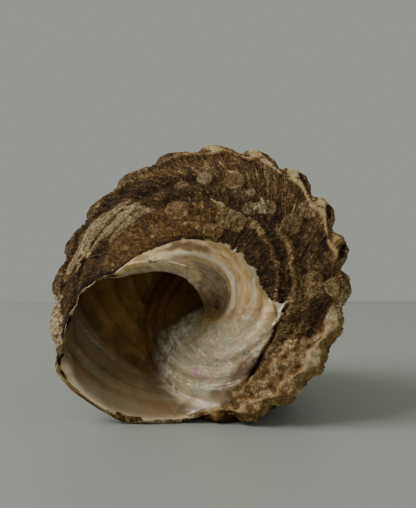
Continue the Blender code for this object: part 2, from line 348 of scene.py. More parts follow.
def sheet_point(rows, turn, across):
    """Points of a sheet in the shell's own frame, in metres: turn in degrees from the lip, across in rows."""
    columns = np.moveaxis(read_rows(rows, across), -1, 0)
    radius, rise, lead, fold, lag, flare, oval, lip_raise, centre = columns
    phase = np.radians(turn * FOLDS - lag)
    near_lip = np.clip(1 + turn / LIP_REACH, 0, None) ** 2
    out = fold * (np.cos(phase) + FOLD_SKEW * np.sin(2 * phase)) + flare * near_lip
    angle = np.radians(turn + lead)
    aside = OFF_CENTRE * np.cos(angle - math.radians(OFF_CENTRE_TOWARDS))
    aside += OVAL * np.cos(2 * angle - math.radians(OVAL_PHASE))
    aside = oval * aside + centre * CENTRE_OFF * np.cos(angle - math.radians(CENTRE_OFF_TOWARDS))
    radius = (radius + out + aside) * MM * RADIUS_GROWTH ** (turn / 360)
    rise = rise - PUSH_SLOPE * out + lip_raise * np.clip(1 + turn / TROUGH_REACH, 0, None)
    height = (APEX_TO_KEEL + rise) * MM * HEIGHT_GROWTH ** (turn / 360)
    return np.stack([radius * np.cos(angle), radius * np.sin(angle), height], -1)


def lying_pose():
    roll = Matrix.Rotation(math.radians(ROLL), 4, "Z")
    yaw = Matrix.Rotation(math.radians(AXIS_YAW), 4, "Z")
    tip = Matrix.Rotation(math.radians(90 - AXIS_RISE), 4, "X")
    return Matrix.Translation(APEX_PLACE) @ yaw @ tip @ roll


def noise(points, seed):
    """Smooth random values from -1 to 1 on a unit lattice, the same each run."""
    base = np.floor(points).astype(np.int64)
    f = points - base
    f = f * f * (3 - 2 * f)
    total = np.zeros(points.shape[:-1])
    for corner in np.ndindex(2, 2, 2):
        cell = base + np.array(corner)
        h = cell[..., 0] * 374761393 + cell[..., 1] * 668265263 + cell[..., 2] * 2147483647 + seed * 974711
        h = (h ^ (h >> 13)) * 1274126177
        h = (h ^ (h >> 16)) & 0xFFFFFF
        weight = np.prod(np.where(corner, f, 1 - f), axis=-1)
        total += weight * (h / 0xFFFFFF)
    return total * 2 - 1


def fractal(points, octaves, seed):
    return sum(noise(points * 2 ** i, seed + i) * 0.5 ** i for i in range(octaves))


def ease(low, high, value):
    share = np.clip((value - low) / (high - low), 0, 1)
    return share * share * (3 - 2 * share)


def select_only(piece):
    bpy.ops.object.select_all(action="DESELECT")
    piece.select_set(True)
    bpy.context.view_layer.objects.active = piece


def grid_samples(rows, start):
    """Samples of one sheet from a turn to the lip, as (points, turn, across)."""
    turns = np.arange(start, 0.1, SAMPLE_TURN)
    across = np.arange(0, len(rows) - 1 + SAMPLE_ROW / 2, SAMPLE_ROW)
    turn, across = np.meshgrid(turns, across, indexing="ij")
    turn, across = turn.ravel(), across.ravel()
    return sheet_point(rows, turn, across), turn, across


def both_sheets(outside, lining):
    """Samples of both sheets, but not of the base where the next whorl buries it in the solid."""
    points, turn, across = grid_samples(outside, -WHORLS * 360)
    buried = (across > BURIED_ROW) & (turn < -360 - CAVITY_TURN)
    skin = [part[~buried] for part in (points, turn, across)]
    inner = grid_samples(lining, -CAVITY_TURN)
    sheet = np.concatenate([np.zeros(len(skin[1]), int), np.ones(len(inner[1]), int)])
    return sheet, *(np.concatenate(pair) for pair in zip(skin, inner))


def settle(rows, turn, across, target):
    """Slides places along a sheet, in three steps, to where they are nearest to their targets."""
    for _ in range(3):
        miss = target - sheet_point(rows, turn, across)
        # How the point moves for each degree of turn, and for each row.
        along = sheet_point(rows, turn + 0.5, across) - sheet_point(rows, turn - 0.5, across)
        over = (sheet_point(rows, turn, across + 0.05) - sheet_point(rows, turn, across - 0.05)) / 0.1
        aa, oo, ao = (along ** 2).sum(-1), (over ** 2).sum(-1), (along * over).sum(-1)
        am, om = (along * miss).sum(-1), (over * miss).sum(-1)
        area = aa * oo - ao ** 2 + NEVER_ZERO
        turn = np.clip(turn + np.clip((am * oo - om * ao) / area, -2, 2), None, 0)
        across = np.clip(across + np.clip((om * aa - am * ao) / area, -0.3, 0.3), 0, len(rows) - 1)
    return turn, across


def follow_growth(points, outside, lining):
    """For each point: its sheet (0 outside, 1 lining), turn, across, and the nearest place on that sheet."""
    sheet, samples, turn, across = both_sheets(outside, lining)
    tree = kdtree.KDTree(len(samples))
    for i, sample in enumerate(samples):
        tree.insert(sample, i)
    tree.balance()
    nearest = np.array([tree.find(p)[1] for p in points])
    sheet, turn, across = sheet[nearest], turn[nearest], across[nearest]
    place = np.zeros_like(points)
    for side, rows in enumerate((outside, lining)):
        on = sheet == side
        turn[on], across[on] = settle(rows, turn[on], across[on], points[on])
        place[on] = sheet_point(rows, turn[on], across[on])
    return sheet, turn, across, place


def read_vertices(shell, name):
    flat = np.zeros(len(shell.data.vertices) * 3)
    shell.data.vertices.foreach_get(name, flat)
    return flat.reshape(-1, 3)


def merged_copy(cad):
    """A copy of the solid, its loose triangles merged into quads and rounded."""
    select_only(cad)
    bpy.ops.object.duplicate()
    shell = bpy.context.view_layer.objects.active
    shell.name = "shell_skin"
    bpy.ops.object.mode_set(mode="EDIT")
    bpy.ops.mesh.select_all(action="SELECT")
    bpy.ops.mesh.remove_doubles(threshold=0.01 * MM)
    bpy.ops.mesh.tris_convert_to_quads(face_threshold=math.pi, shape_threshold=math.pi)
    bpy.ops.object.mode_set(mode="OBJECT")
    smoothing = shell.modifiers.new("smoothing", "SUBSURF")
    smoothing.levels = smoothing.render_levels = 2
    bpy.ops.object.modifier_apply(modifier="smoothing")
    return shell


def set_points(shell, points, pose, box):
    """Puts the points in place, none of them outside the box of the solid or under the floor."""
    world = points @ np.array(pose.to_3x3()).T + np.array(pose.translation)
    shell.data.vertices.foreach_set("co", np.clip(world, *box).ravel())
    shell.data.update()


def draw_onto_growth(shell, pose, box, outside, lining):
    """Moves the copy onto the smooth growth curves and gives its sheet, turn and across at each point."""
    points = (read_vertices(shell, "co") - np.array(pose.translation)) @ np.array(pose.to_3x3())
    sheet, turn, across, place = follow_growth(points, outside, lining)
    miss = np.linalg.norm(points - place, axis=1)
    pull = 1 - ease(DRAWN_FULLY, NOT_DRAWN, miss)
    points += (place - points) * pull[:, None]
    set_points(shell, points, pose, box)
    return sheet, turn, across, points


def select_faces(shell, chosen_points):
    """Selects the faces whose points are all chosen."""
    mesh = shell.data
    starts = np.zeros(len(mesh.polygons), int)
    corners = np.zeros(len(mesh.loops), int)
    mesh.polygons.foreach_get("loop_start", starts)
    mesh.loops.foreach_get("vertex_index", corners)
    all_chosen = np.logical_and.reduceat(chosen_points[corners], starts)
    select_only(shell)
    bpy.ops.object.mode_set(mode="EDIT")
    bpy.ops.mesh.select_all(action="DESELECT")
    bpy.ops.object.mode_set(mode="OBJECT")
    mesh.polygons.foreach_set("select", all_chosen)


def lattice(first, second=1, third=1):
    """Places on the noise lattice, from coordinates that are already scaled."""
    return np.stack(np.broadcast_arrays(first, second, third), -1)


def between(low, high, value, soft):
    return ease(low - soft, low + soft, value) * (1 - ease(high - soft, high + soft, value))


def bell(offset, width, power=2):
    return np.exp(-(offset / width) ** power)


def along_table(table, turn):
    places = np.array(sorted(table))
    return np.interp(turn, places[:, 0], places[:, 1])


def mixed(ground, target, share):
    return ground + (target - ground) * share


def strongest(*masks):
    return np.maximum.reduce(masks)


class Surface:
    """The points of the skin and the lining, where each lies on the growth, and what is laid on it.

    A shade runs from 0, nearly black, to 1, cream. Heights are in mm above the smooth growth. The last
    number of each noise is its seed, and a division before it is its size in mm.
    """

    def __init__(self, sheet, turn, across, points, outside):
        self.turn = turn
        self.row = across
        self.mm = points / MM
        self.outside = outside
        self.skin = sheet == 0
        self.lining = sheet == 1
        # The same places, wandering by some degrees and a third of a row, so that no border is straight.
        self.loose_turn = turn + 5 * fractal(self.mm / 5, 3, 11)
        self.loose_row = across + 0.34 * fractal(self.mm / 4, 3, 23)
        # Fibres lie along the growth lines, about 1.5 mm apart.
        fibres = lattice(turn * 0.75, across * 0.3)
        self.fibre = noise(fibres, 31) * 0.6 + noise(fibres * np.array([2.1, 2, 1]), 32) * 0.4
        self.blotch = fractal(self.mm / 6, 3, 41)
        self.grain = fractal(self.mm / 1.3, 2, 43)
        self.fold_phase = np.radians(turn * FOLDS)

    def part(self, border):
        """1 inside a part of the skin and 0 outside it, with a border that wanders."""
        start, end, inner, outer, soft_turn, soft_row = border
        rows = between(inner, outer, self.loose_row, soft_row)
        return between(start, end, self.loose_turn, soft_turn) * rows

    def far_from(self, turn, across):
        """How far each point is, in mm, from a place on the outside."""
        place = sheet_point(self.outside, np.array(turn), np.array(across)) / MM
        return np.linalg.norm(self.mm - place, axis=1)

    def paint(self, mask, shade, cover=1, grey=None):
        """Lays a shade where the mask says, covering that much of what was there, and a greyness."""
        self.shade = mixed(self.shade, shade, mask * cover)
        if grey is not None:
            self.grey = mixed(self.grey, grey, mask)

    def find_glaze(self):
        """How far the glaze of the mouth reaches, and how many rows inside its edge each point is."""
        self.whole_edge = along_table(GLAZE_EDGE, self.turn)
        ragged = self.whole_edge + 0.06 * noise(lattice(self.turn * 0.13), 5)
        torn = 0.14 * between(*TORN_EDGE, self.turn, 6) * fractal(lattice(self.turn * 0.28), 2, 7)
        flaked = FLAKE_ROW + 0.25 * noise(lattice(self.turn * 0.4), 8)
        self.flake = between(*FLAKE, self.turn, 0.5)
        self.inside = self.row - np.where(self.flake > 0.5, flaked, ragged + torn)
        mouth_row = np.interp(self.turn, MOUTH_EDGE_TURNS, MOUTH_EDGE_ROWS)
        in_mouth = ease(0, 0.1, self.row - mouth_row)
        on_outside = ease(-0.12, 0.12, self.inside)
        glaze = np.where(self.turn < MOUTH_START, in_mouth, on_outside)
        self.glaze = np.where(self.skin, glaze, 1)
        self.outer_glaze = self.skin & (self.turn > MOUTH_START)

    def horny_ground(self):
        """Brown skin with growth lamellae, and with fine threads and beads between the cords of the base."""
        stages = noise(lattice(self.turn * 0.22, self.row * 0.25), 33)
        self.shade = 0.27 + 0.2 * self.blotch + 0.12 * self.fibre + 0.07 * stages
        self.grey = 0.05 + 0.25 * ease(0, 0.6, self.blotch)
        wander = 0.5 * noise(lattice(self.turn * 0.15, self.row * 0.8), 34)
        lamella = (self.turn / LAMELLA_TURN + wander) % 1
        self.height = 0.16 * stages + 0.10 * self.fibre + 0.07 * self.grain + 0.12 * (lamella - 0.5)
        on_base = between(8, 15, self.row, 0.5)
        threads = np.cos(4 * math.pi * self.row + 1.5 * self.blotch)
        beads = np.cos(np.radians(self.turn * 62) + 3 * self.blotch) * np.cos(math.pi * self.row) ** 2
        self.height += on_base * (0.10 * threads + 0.12 * beads)

    def dark_parts(self):
        """Parts where the horny skin is whole and dark, with fibres that stand out."""
        for start, end, inner, outer, dark in DARK_PARTS:
            mask = self.part((start, end, inner, outer, *DARK_SOFTNESS))
            self.paint(mask, dark + 0.2 * self.fibre + 0.08 * self.grain, cover=0.85, grey=0.2)
            self.height += mask * 0.06 * self.fibre

    def cords_and_ribs(self):
        """Pale worn cords on the base, and the ribbed grey part at the left."""
        inner_cord = np.maximum(self.part(INNER_CORD), 0.75 * self.part(INNER_CORD_END))
        outer_cord = self.part(OUTER_CORD)
        self.paint(np.maximum(inner_cord, 0.85 * outer_cord), 0.6 + 0.1 * self.grain)
        self.height += 0.25 * inner_cord + 0.2 * outer_cord
        self.ribbed = self.part(RIBBED)
        ribs = np.cos(2 * math.pi * self.row * 1.7 + 2.2 * noise(self.mm / 6, 51))
        self.paint(self.ribbed, 0.71 + 0.09 * ribs + 0.06 * self.grain, grey=0.65)
        self.height += self.ribbed * (0.22 * ribs + 0.15 * noise(self.mm / 2.2, 52))

    def bare_lime(self):
        """Granular golden lime above the glaze, and pitted tan lime at the lower right."""
        self.granular = self.part(GRANULAR)
        grains = noise(self.mm / 0.95, 53)
        self.paint(self.granular, 0.54 + 0.2 * grains, cover=0.92, grey=0.05)
        self.height += self.granular * (0.16 * grains + 0.08 * self.blotch)
        self.eroded = self.part(ERODED)
        pits = ease(0.1, 0.5, noise(self.mm / 2.3, 54))
        pits += 0.6 * ease(0.2, 0.5, noise(self.mm / 1.1, 55))
        self.paint(self.eroded, 0.86 - 0.22 * pits + 0.1 * self.grain, cover=0.95, grey=0)
        self.height += self.eroded * (0.25 * self.blotch - 0.38 * pits)

    def crusts(self):
        """Flat-topped discs of lime with a fine raised rim."""
        self.crusted = np.zeros(len(self.turn))
        for turn, across, size, rise, pale, grey in CRUSTS:
            far = self.far_from(turn, across) + 0.28 * size * self.blotch
            disc = (1 - ease(size - 0.35, size + 0.35, far)) * self.skin
            rim = bell(far - size + 0.25, 0.3) * self.skin
            self.paint(disc, pale + 0.03 + 0.05 * self.grain, cover=0.92, grey=grey)
            self.paint(rim, pale + 0.2, cover=0.5)
            self.crusted = np.maximum(self.crusted, disc)
            self.height += rise * disc + 0.12 * rim

    def worm_tubes(self):
        """Pale chalky tubes 1 mm across. Only points near a tube are measured against its path."""
        for tube in WORM_TUBES:
            line = np.array(tube)
            steps = np.linspace(0, len(line) - 1, 12 * len(line))
            turn, across = (np.interp(steps, np.arange(len(line)), column) for column in line.T)
            path = sheet_point(self.outside, turn, across) / MM
            close = np.linalg.norm(self.mm - path.mean(0), axis=1) < TUBE_REACH
            far = np.full(len(self.turn), TUBE_REACH)
            far[close] = np.linalg.norm(self.mm[close][:, None] - path[None], axis=2).min(1)
            tube_mask = (1 - ease(0.3, 0.75, far)) * self.skin
            self.paint(tube_mask, 0.86)
            self.height += 0.4 * tube_mask

    def toothed_rim(self):
        """Deep notches over both keels, sunk pockets between their teeth, and a ridge at the seam."""
        notch = bell(self.turn * FOLDS / 360 % 1 - 0.5, 0.11) * between(3.2, 6.9, self.row, 0.4)
        smooth_rim = between(*SMOOTH_RIM, self.turn, 5)
        self.height -= 0.7 * notch * (1 - smooth_rim)
        lobe = ease(0.25, 0.85, np.cos(self.fold_phase + math.radians(35)))
        self.pocket = lobe * bell(self.row - 5.6, 0.8, 4) * between(*TOOTHED_RIM, self.turn, 5)
        self.ridge = bell(self.row - 7.1, 0.42)
        self.height += 0.45 * self.ridge - 0.7 * self.pocket
        rim = between(3.4, 6.6, self.loose_row, 0.3)
        self.paint(rim, 0.50 + 0.10 * self.grain + 0.14 * self.blotch)
        smooth_rim = smooth_rim * between(3.6, 7.4, self.loose_row, 0.3)
        self.paint(smooth_rim, 0.78 + 0.08 * self.grain + 0.1 * self.fibre)

    def rubbed_rim(self):
        """Cream lime where ridges, teeth and knobs are rubbed bare, and dark skin with painted shade in the
        pockets.
        """
        near_lip = ease(-112, -96, self.turn)
        duller = 0.55 * between(-232, -196, self.turn, 5)
        behind = between(5.2, 7.6, self.loose_row, 0.3) * near_lip
        self.paint(behind, 0.46 + 0.12 * self.fibre + 0.14 * self.blotch, grey=0.4)
        ridge = self.ridge * (0.75 + 0.5 * noise(self.mm / 3, 61)) * (1 - duller) * (1 - 0.8 * near_lip)
        keel = bell(self.row - 4, 0.35) * ease(0, 0.5, noise(self.mm / 3.5, 62))
        knobs = bell(self.row - 3.8, 0.5) * ease(-0.3, 0.9, np.cos(self.fold_phase))
        knobs = knobs * ease(-280, -330, self.turn) * (0.8 + 0.5 * noise(self.mm / 3, 64))
        teeth = ease(0.1, 0.8, np.cos(self.fold_phase - math.radians(75)))
        teeth = teeth * between(-194, -118, self.turn, 4) * between(4.6, 7, self.loose_row, 0.3)
        keel_at_lip = between(2.6, 5.2, self.loose_row, 0.3) * near_lip
        rubbed = strongest(ridge, keel, knobs, 0.9 * teeth, 0.9 * keel_at_lip, 0.7 * self.part(RUBBED_RIDGE))
        self.rubbed = ease(0.3, 0.8, rubbed) * (1 - ease(0.2, 0.5, self.pocket))
        self.paint(self.rubbed, 0.88 + 0.07 * self.grain + 0.05 * self.fibre, grey=0.1)
        # The pockets keep dark skin and take painted shade as well.
        self.paint(ease(0.2, 0.6, self.pocket), 0.16 + 0.12 * self.grain)

    def bare_lip(self):
        """A thin cream edge with a dark line beside it, and a worn strip near it at the left."""
        outer_rows = self.row < RIDGE_ROW
        self.paint(between(-4.5, -1.4, self.turn, 0.4) * outer_rows * (self.row > 0.5), 0.03)
        lip = ease(-1.3, -0.5, self.turn + 0.4 * noise(self.mm / 2, 63))
        self.paint(lip * outer_rows, 0.84)
        strip = ease(8.1, 7.7, self.loose_row) * ease(-24, -18, self.loose_turn)
        self.paint(strip * between(5.5, 9, self.row, 0.2), 0.86)
        self.shade = np.minimum(self.shade, 1)

    def spire_and_back(self):
        """Duller skin on the spire, more worn on the older whorls."""
        spire = ease(3.6, 3, self.row) * self.skin
        older = ease(-300, -900, self.turn)
        self.paint(spire, 0.40 + 0.16 * self.blotch + 0.10 * self.fibre + 0.18 * older)
        worn = ease(0.15, 0.45, self.blotch + 0.35 * older) * spire
        self.paint(worn, 0.72 + 0.08 * self.grain, cover=0.8)
        self.height += spire * (0.12 * self.grain - 0.2 * worn)

    def edge_of_skin(self):
        """The skin ends at the glaze, with a dark crack at the lower right and a dark line at the left."""
        crack = between(-268, -222, self.turn, 3) * bell(self.inside + 0.22, 0.16) * self.skin
        self.paint(crack, 0.02)
        line = ease(-112, -100, self.turn) * bell(self.inside + 0.09, 0.09) * self.skin
        self.paint(line, 0.16, cover=0.85)
        self.height = (self.height - 0.7 * crack) * self.skin * (1 - self.glaze)

    def find_threads(self):
        """The two beaded threads in the mouth, and the net of fine ridges on the wall behind them."""
        reach = between(-330, -208, self.turn, 4)
        thread = self.row - along_table(BEADED_THREAD, self.turn)
        beads = 0.6 + 0.4 * np.cos(np.radians(self.turn * 95) + 2 * self.blotch)
        self.broken = ease(-0.35, 0.35, noise(self.mm / 1.7, 74))
        self.first_thread = reach * bell(thread, 0.22) * beads * self.broken
        self.second_thread = reach * bell(thread + 1.15, 0.2) * beads * self.broken
        self.between_threads = reach * bell(thread + 0.45, 0.16) * beads * self.broken * self.skin
        mesh_along = np.cos(np.radians(self.turn * 80)) * 0.5 + 0.5
        mesh_across = np.cos(2 * math.pi * self.row * 1.5) * 0.5 + 0.5
        self.netted = ease(-312, -325, self.turn) * between(8, 16.5, self.row, 0.5) * self.skin
        self.net = self.netted * np.maximum(mesh_along, mesh_across)

    def glaze_relief(self):
        """The glaze: a raised, rounded edge, wrinkles where it is pearly, beaded threads and the flake."""
        warp = 0.6 * fractal(self.mm / 4, 2, 71)[:, None]
        wrinkle = 1 - 2 * np.abs(noise(lattice(self.turn * 0.06, self.row * 2.4) + warp, 72))
        wrinkle = wrinkle * self.broken * between(9, 16.4, self.row, 0.6)
        lower = ease(-196, -212, self.turn) * self.skin
        edge = 0.25 * ease(-0.15, 0.35, self.inside) + 0.12 * bell(self.inside - 0.3, 0.25)
        edge = (edge + 0.9 * self.flake * bell(self.inside - 0.25, 0.4)) * self.outer_glaze
        threads = (0.55 * self.first_thread + 0.36 * self.second_thread) * self.skin
        rise = edge + threads + 0.26 * self.net + lower * (0.2 * wrinkle + 0.14 * noise(self.mm / 1.4, 73))
        self.height = self.height + self.glaze * self.skin * rise

    def stains(self):
        """Brown stains in the glaze: along its edge, in bands, between the threads, and in small spots."""
        border = bell(self.inside - 0.05, 0.11) * (0.75 + 0.4 * noise(self.mm / 3, 81))
        streaks = 0.26 + 0.3 * noise(lattice(self.turn * 0.02, self.row * 5), 82)
        ochre_edge = between(-236, -100, self.loose_turn, 8) * bell(self.inside - 0.22, 0.28)
        corner = between(-300, -246, self.loose_turn, 6) * between(-0.2, 1.2, self.inside, 0.4)
        corner_end = between(-262, -224, self.loose_turn, 6) * between(-0.2, 0.6, self.inside, 0.3)
        corner = np.maximum(corner, 0.5 * corner_end) * (0.85 + 0.4 * self.blotch)
        spots = np.zeros(len(self.turn))
        for turn, across in SMALL_SPOTS:
            far = self.far_from(turn, across) + 0.5 * noise(self.mm / 0.9, 86)
            spots = np.maximum(spots, 1 - ease(0.25, 0.8, far))
        speckled = self.part(SPECKLED) * ease(-0.2, 0.5, noise(self.mm / 1.8, 84))
        on_outside = strongest(0.85 * border, 0.55 * ochre_edge, 0.9 * spots, corner) * self.outer_glaze
        flake_line = self.flake * bell(self.row - self.whole_edge, 0.14)
        return strongest(
            on_outside, 0.5 * self.between_threads, 0.45 * speckled, 0.9 * flake_line,
            0.85 * self.part(OLIVE_BAND), 0.5 * self.part(OLIVE_END), streaks * self.part(OCHRE_BAND),
        )

    def whites(self):
        """White glaze: two bands, the flake, the torn edge, the creamy part near the lip, and the lip."""
        band = between(-228, -30, self.loose_turn, 12) * between(16.7, 17.2, self.row, 0.25)
        flake = self.flake * ease(0.1, -0.2, self.row - self.whole_edge) * self.outer_glaze
        torn = between(-196, -126, self.turn, 4) * between(-0.1, 0.28, self.inside, 0.05)
        torn = torn * ease(0.15, 0.4, noise(self.mm / 1.2, 83))
        creamy = ease(-62, -40, self.loose_turn) * ease(15.3, 16, self.row)
        inner_lip = self.lining * ease(-1.6, -0.8, self.turn)
        return strongest(
            0.7 * band, 0.6 * self.part(WHITE_BAND), 0.7 * flake, 0.7 * torn, 0.3 * creamy * self.outer_glaze,
            0.35 * inner_lip,
        )

    def depth_shade(self):
        """How far the brown of the mouth covers each point, 0 to 1: partly the nacre's own bronze, partly
        painted shade.
        """
        # Deeper in the lining the brown is partly the nacre's own bronze and partly painted shade.
        lining = 0.48 * ease(-0.2, -2.6, self.turn) + 0.5 * ease(-24, -80, self.turn)
        # On the wall of the whorl before, in the mouth, it is a painted shadow of the base's lip.
        wall = 0.78 * ease(-326, -362, self.turn + 6 * self.blotch)
        return np.where(self.lining, lining, np.where(self.turn < -322, wall, 0))

    def blushes(self):
        """A pink streak that tapers, from nine discs, and clouds of green beside it."""
        pink = np.zeros(len(self.turn))
        ragged = 0.5 * noise(self.mm / 1.5, 85)
        for turn, across, size in np.linspace(*PINK_STREAK, 9):
            far = self.far_from(turn, across) + ragged
            pink = np.maximum(pink, 1 - ease(size * 0.5, size * 1.2, far))
        green = np.zeros(len(self.turn))
        for turn, across, size in GREEN_CLOUDS:
            far = self.far_from(turn, across) + 0.8 * self.blotch
            green = np.maximum(green, 1 - ease(size * 0.4, size * 1.1, far))
        return 0.85 * pink, 0.55 * green

    def fields(self):
        """What the materials read at each point: its place, its tones, how much of each finish, and painted
        shade and highlights.
        """
        covered = self.granular + self.eroded + 0.6 * self.ribbed + 0.6 * self.rubbed + 0.8 * self.crusted
        depth_shade = self.depth_shade()
        pink, green = self.blushes()
        # Mauve grey in the trough by the ridge: partly the glaze's own tint, partly painted shade in the
        # hollow.
        mauve_and_shade = between(-262, -62, self.loose_turn, 12) * ease(17.4, 18.2, self.row) * self.skin
        pearly = 0.8 * ease(-200, -262, self.loose_turn) * ease(17.4, 16.2, self.row)
        silver = np.where(self.skin, pearly, 0.45)
        open_pearl = np.clip(1 - 1.2 * depth_shade, 0, 1) * ease(9.4, 12, self.loose_row) * self.skin
        threads = (self.first_thread + self.second_thread + self.net * self.broken) * self.skin
        return {
            "turn": self.turn,
            "across": self.row,
            "shade": self.shade,
            "grey": self.grey,
            "stringy": 0.15 + 1.9 * (1 - np.clip(covered, 0, 1)),
            "quiet": 1 - 0.6 * self.rubbed - 0.4 * self.eroded - 0.15 * self.granular,
            "stain": self.stains(),
            "white": self.whites(),
            # On the netted wall of the whorl before, the mauve grey stands for painted shade.
            "mauve_and_shade": np.maximum(mauve_and_shade, 0.8 * self.netted),
            "silver": silver,
            # Painted shade of the mouth, with the nacre's own bronze.
            "depth_shade": depth_shade,
            # How hammered the open pearl is, and how bright the painted highlights on its creases are.
            "wrinkled": 0.75 * silver * open_pearl,
            "threads": 0.95 * np.clip(threads, 0, 1),
            "pink": pink,
            "green": green,
        }

    def lay_everything(self):
        """Each step covers some of what those before it laid."""
        self.find_glaze()
        self.horny_ground()
        self.dark_parts()
        self.cords_and_ribs()
        self.bare_lime()
        self.crusts()
        self.worm_tubes()
        self.toothed_rim()
        self.rubbed_rim()
        self.bare_lip()
        self.spire_and_back()
        self.edge_of_skin()
        self.find_threads()
        self.glaze_relief()


def chip_lip(turn, across):
    """How far, in degrees, the thin lip is broken back at each point."""
    ragged = noise(lattice(across * 1.9, 0.5, 0.5), 91) + 0.5 * noise(lattice(across * 4.1, 0.5, 0.5), 92)
    return (0.35 + 0.45 * ragged) * ease(-9, 0, turn) * between(0.6, 15, across, 0.6)


def turned_back(points, degrees):
    """The points turned about the coiling axis, back from the lip."""
    spin = np.radians(degrees)
    turned = points.copy()
    turned[:, 0] = points[:, 0] * np.cos(spin) + points[:, 1] * np.sin(spin)
    turned[:, 1] = points[:, 1] * np.cos(spin) - points[:, 0] * np.sin(spin)
    return turned


def refine_seen(shell, sheet, turn, across):
    """Cuts the faces that the photograph shows once more: the flank and base, the mouth and the lip."""
    seen = (turn > -306.0) & (turn < -3.0) & (across > 3.6) & (across < 19.0)
    in_mouth = (turn > -420.0) & (turn <= -300.0) & (across > 7.9) & (across < 17.0)
    at_lip = (turn >= -12.0) & (across > 3.6)
    select_faces(shell, (sheet == 0) & (seen | in_mouth | at_lip))
    bpy.ops.object.mode_set(mode="EDIT")
    bpy.ops.mesh.subdivide(number_cuts=1)
    bpy.ops.object.mode_set(mode="OBJECT")


def calm_lining(sheet, turn, across, points, lining):
    """Behind the lip the lining is smooth: the folds of the outside don't show in it."""
    calm = lining.copy()
    calm[:, 3] = 0.0
    shift = sheet_point(calm, turn, across) - sheet_point(lining, turn, across)
    settled = points + shift * ease(-2.0, -16.0, turn)[:, None]
    return np.where(((sheet == 1) & (turn < -2.0))[:, None], settled, points)


def dressed_shell(cad, pose, box):
    """The shell's outside skin and its pearl lining as one mesh with fine relief, and where it is pearl."""
    outside = outside_rows()
    lining = lining_rows(outside)
    shell = merged_copy(cad)
    sheet, turn, across, _ = draw_onto_growth(shell, pose, box, outside, lining)
    refine_seen(shell, sheet, turn, across)
    sheet, turn, across, points = draw_onto_growth(shell, pose, box, outside, lining)
    points = calm_lining(sheet, turn, across, points, lining)
    set_points(shell, points, pose, box)

    surface = Surface(sheet, turn, across, points, outside)
    surface.lay_everything()
    normals = read_vertices(shell, "normal") @ np.array(pose.to_3x3())
    chipped = turned_back(points, chip_lip(turn, across))
    set_points(shell, chipped + normals * (surface.height * MM)[:, None], pose, box)

    for name, values in surface.fields().items():
        attribute = shell.data.attributes.new(name, "FLOAT", "POINT")
        attribute.data.foreach_set("value", values.astype(np.float32))
    select_only(shell)
    bpy.ops.object.shade_smooth()
    return shell, surface.lining | (surface.glaze > 0.5)


def split_off(shell, chosen_points, name):
    """Separates the chosen faces as a piece of their own."""
    select_faces(shell, chosen_points)
    bpy.ops.object.mode_set(mode="EDIT")
    bpy.ops.mesh.separate(type="SELECTED")
    bpy.ops.object.mode_set(mode="OBJECT")
    piece = [o for o in bpy.context.selected_objects if o is not shell][0]
    piece.name = name
    return piece


def set_inputs(tree, node, inputs):
    """Gives each input its value, or a link where the source is another node's output."""
    for name, source in inputs.items():
        if isinstance(source, bpy.types.NodeSocket):
            tree.links.new(source, node.inputs[name])
        else:
            node.inputs[name].default_value = source


def add_node(tree, kind, inputs, output=0, stops=(), **settings):
    """Adds a node with its settings, inputs and any colour stops, and gives one of its outputs."""
    node = tree.nodes.new("ShaderNode" + kind)
    for name, value in settings.items():
        setattr(node, name, value)
    set_inputs(tree, node, inputs)
    for _ in stops[2:]:
        node.color_ramp.elements.new(0.5)
    for number, (place, hex_code) in enumerate(stops):
        element = node.color_ramp.elements[number]
        element.position = place
        element.color = colour(hex_code)
    return node.outputs[output]


def new_material(name):
    material = bpy.data.materials.new(name)
    material.use_nodes = True
    return material, material.node_tree, material.node_tree.nodes["Principled BSDF"]


def plain_material(name, hex_code, roughness):
    material, tree, principled = new_material(name)
    set_inputs(tree, principled, {"Base Color": colour(hex_code), "Roughness": roughness})
    return material


def read_shell(tree, names):
    """What is laid on the shell, each point's place in metres, and its place on the growth."""
    laid = {}
    for name in ("turn", "across", *names):
        laid[name] = add_node(tree, "Attribute", {}, "Fac", attribute_name=name)
    place = add_node(tree, "TexCoord", {}, "Object")
    return laid, place, add_node(tree, "CombineXYZ", {"X": laid["turn"], "Y": laid["across"]})


